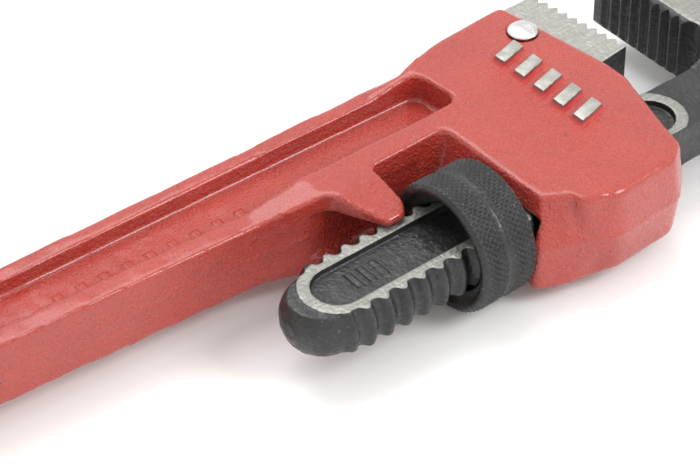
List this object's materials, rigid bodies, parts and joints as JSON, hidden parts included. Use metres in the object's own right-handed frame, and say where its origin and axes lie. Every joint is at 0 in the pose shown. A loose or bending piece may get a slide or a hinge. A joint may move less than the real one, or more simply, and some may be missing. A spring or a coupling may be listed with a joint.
{
  "type": "adjustable pipe wrench",
  "caption": "Straight pipe wrench: cast housing and handle, threaded hook jaw with turning adjusting nut, toothed heel jaw, spring-loaded rocking jaw.",
  "frame": {"origin": "centre of the bounding box in plan, on the plane that the wrench's side rests on", "axes": "+X along the handle and the threaded shank towards the jaws, +Y from the shank towards the heel jaw's open side, +Z through the thickness"},
  "size_m": [0.2502, 0.0652, 0.0282],
  "materials": {
    "cast_red_paint": "gloss paint over a cast surface",
    "black_oxide": "black oxide, satin, forged",
    "ground_steel": "ground",
    "bright_steel": "bright",
    "spring_steel": "plain spring steel"
  },
  "bodies": {
    "handle": {"handle_body": "cast_red_paint", "heel_jaw": "ground_steel", "heel_jaw_pin": "bright_steel", "spring_rivet": "bright_steel"},
    "springs": {"flat_spring": "spring_steel", "coil_spring": "spring_steel"},
    "jaw": {"hook_jaw": "black_oxide"},
    "nut": {"adjusting_nut": "black_oxide"}
  },
  "joints": [
    {"name": "jaw_rock", "type": "hinge", "parent": "handle", "child": "springs", "pos_m": [0.04495, -0.00069, 0.0141], "axis": [0, 0, 1], "range_deg": [0, 1.8], "stiffness_Nm_per_rad": 1.6, "springref_deg": -3.44},
    {"name": "jaw_slide", "type": "slide", "parent": "springs", "child": "jaw", "axis": [1, 0, 0], "range_m": [-0.0136, 0.028]},
    {"name": "nut_spin", "type": "hinge", "parent": "springs", "child": "nut", "pos_m": [0.03265, -0.01329, 0.0141], "axis": [1, 0, 0], "range_deg": [-2245, 1095]}
  ],
  "couplings": [
    {"joint": "nut_spin", "follows": "jaw_slide", "rad_per_m": -1396.3}
  ]
}
